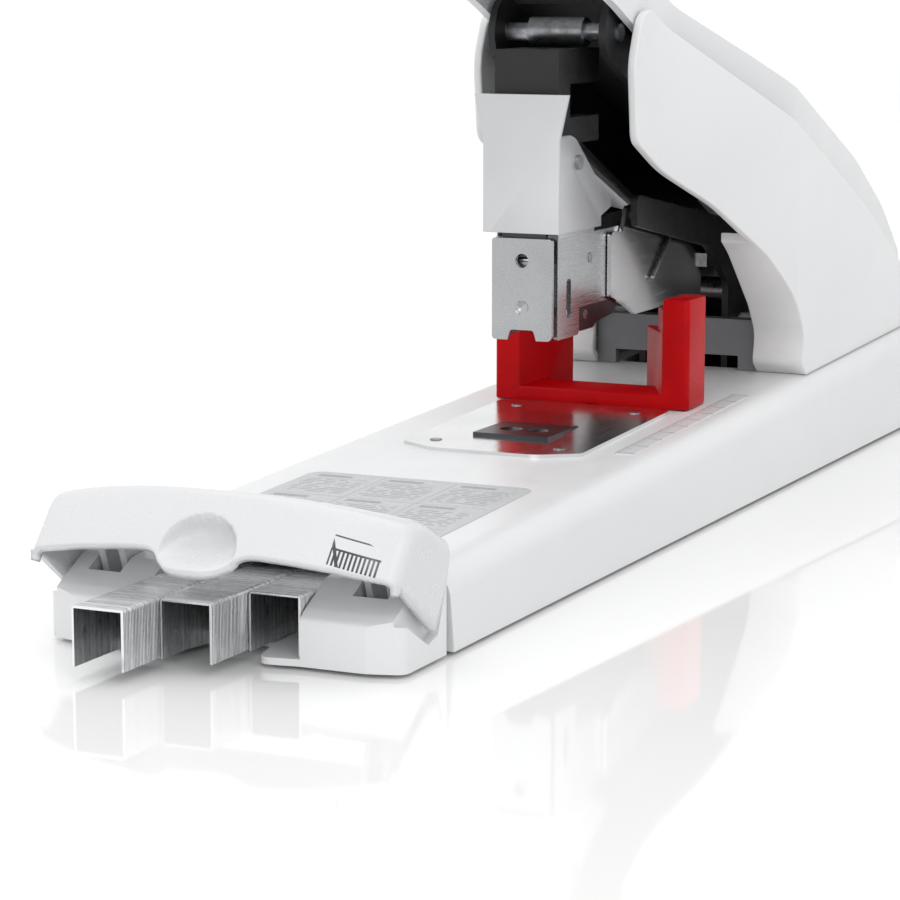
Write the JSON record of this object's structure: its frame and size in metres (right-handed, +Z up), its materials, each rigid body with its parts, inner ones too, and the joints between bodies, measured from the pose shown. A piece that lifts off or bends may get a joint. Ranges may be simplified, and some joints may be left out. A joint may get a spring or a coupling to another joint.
{
  "type": "heavy duty stapler",
  "caption": "Long-arm block stapler: hollow lever handle over twin arm shells, steel head with drawer magazine, sliding paper stop, hinged front flap over reserve staple strips.",
  "frame": {"origin": "middle of the footprint, on the table", "axes": "+X to the object's right, +Y from the reserve bay at the front to the handle's pivot at the rear, +Z up"},
  "size_m": [0.0924, 0.426, 0.1798],
  "materials": {
    "white_abs": "moulded ABS, fine eggshell grain",
    "flap_abs": "moulded ABS, satin gloss",
    "red_pom": "moulded acetal, satin",
    "black_pa": "moulded glass-filled nylon, fine texture",
    "grey_abs": "moulded ABS, fine texture",
    "black_steel": "black powder coat on pressed steel",
    "bright_steel": "cold rolled nickel-plated sheet steel",
    "satin_steel": "satin nickel-plated sheet steel",
    "plate_steel": "zinc-plated sheet steel",
    "dark_steel": "blackened hardened steel",
    "housing_paint": "satin silver lacquer on pressed steel",
    "staple_wire": "glued galvanised steel wire",
    "spring_steel": "bright drawn spring wire",
    "screw_steel": "zinc-plated turned steel",
    "label_film": "printed matt label film",
    "scale_print": "pad-printed scale on clear film",
    "foot_rubber": "moulded rubber"
  },
  "bodies": {
    "base": {"base_shell": "white_abs", "base_plate": "plate_steel", "base_screws": "screw_steel", "rubber_feet": "foot_rubber", "reserve_cap": "white_abs", "flap_pins": "screw_steel", "info_label": "label_film", "depth_scale": "scale_print", "anvil_plate": "bright_steel", "anvil_rivets": "screw_steel", "anvil_die": "dark_steel", "frame_left": "black_steel", "frame_right": "black_steel", "frame_spacers": "screw_steel", "frame_brackets": "black_steel", "frame_bolts": "screw_steel", "guide_left": "bright_steel", "guide_right": "bright_steel", "guide_spacers": "screw_steel", "latch_spring": "spring_steel", "arm_shell_left": "white_abs", "arm_shell_right": "white_abs", "arm_screws": "screw_steel", "pillar_cover": "grey_abs", "handle_pin": "screw_steel", "pin_clips": "spring_steel", "return_spring": "spring_steel"},
    "handle": {"handle_shell": "white_abs", "handle_lever": "black_steel", "lever_screws": "screw_steel", "roller_pin": "screw_steel"},
    "roller": {"roller": "screw_steel"},
    "head": {"head_housing": "housing_paint", "housing_screws": "screw_steel", "magazine_channel": "satin_steel", "nose_bracket": "dark_steel", "nose_rivets": "screw_steel", "head_spring": "spring_steel"},
    "driver": {"driver_blade": "dark_steel", "driver_crosshead": "black_steel", "blade_screws": "screw_steel"},
    "drawer": {"nose_plate": "satin_steel", "magazine_tray": "plate_steel", "magazine_staples": "staple_wire", "pusher_rod": "screw_steel", "pusher_spring": "spring_steel"},
    "pusher": {"pusher": "black_pa"},
    "stop": {"paper_stop": "red_pom"},
    "flap": {"reserve_flap": "flap_abs"},
    "strip_left": {"staple_strip_left": "staple_wire"},
    "strip_middle": {"staple_strip_middle": "staple_wire"},
    "strip_right": {"staple_strip_right": "staple_wire"}
  },
  "joints": [
    {"name": "handle_press", "type": "hinge", "parent": "base", "child": "handle", "pos_m": [0, 0.183, 0.056], "axis": [1, 0, 0], "range_deg": [0, 14.4], "stiffness_Nm_per_rad": 4, "springref_deg": -20.05, "deforming": ["return_spring"]},
    {"name": "roller_spin", "type": "hinge", "parent": "handle", "child": "roller", "pos_m": [0, 0.007, 0.134], "axis": [1, 0, 0], "continuous": true},
    {"name": "head_slide", "type": "slide", "parent": "base", "child": "head", "axis": [0, 0, -1], "range_m": [0, 0.0245]},
    {"name": "driver_slide", "type": "slide", "parent": "base", "child": "driver", "axis": [0, 0, -1], "range_m": [0, 0.0463], "deforming": ["head_spring"]},
    {"name": "magazine_slide", "type": "slide", "parent": "head", "child": "drawer", "axis": [0, 1, 0], "range_m": [-0.06, 0]},
    {"name": "pusher_slide", "type": "slide", "parent": "drawer", "child": "pusher", "axis": [0, 1, 0], "range_m": [0, 0.024], "stiffness_N_per_m": 60, "springref_m": -0.01, "deforming": ["pusher_spring"]},
    {"name": "stop_slide", "type": "slide", "parent": "base", "child": "stop", "axis": [0, 0.9994, 0.0349], "range_m": [-0.002, 0.03]},
    {"name": "flap_hinge", "type": "hinge", "parent": "base", "child": "flap", "pos_m": [0, -0.166, 0.009], "axis": [1, 0, 0], "range_deg": [0, 16.05]},
    {"name": "strip_left_slide", "type": "slide", "parent": "base", "child": "strip_left", "axis": [0, 1, 0], "range_m": [0, 0.055]},
    {"name": "strip_middle_slide", "type": "slide", "parent": "base", "child": "strip_middle", "axis": [0, 1, 0], "range_m": [0, 0.0412]},
    {"name": "strip_right_slide", "type": "slide", "parent": "base", "child": "strip_right", "axis": [0, 1, 0], "range_m": [0, 0.0262]}
  ],
  "couplings": [
    {"joint": "head_slide", "follows": "handle_press", "m_per_rad": 0.09708},
    {"joint": "driver_slide", "follows": "handle_press", "m_per_rad": 0.18382},
    {"joint": "flap_hinge", "follows": "strip_left_slide", "rad_per_m": 5.0773},
    {"joint": "strip_middle_slide", "follows": "strip_left_slide", "ratio": 0.74545},
    {"joint": "strip_right_slide", "follows": "strip_left_slide", "ratio": 0.47273}
  ]
}
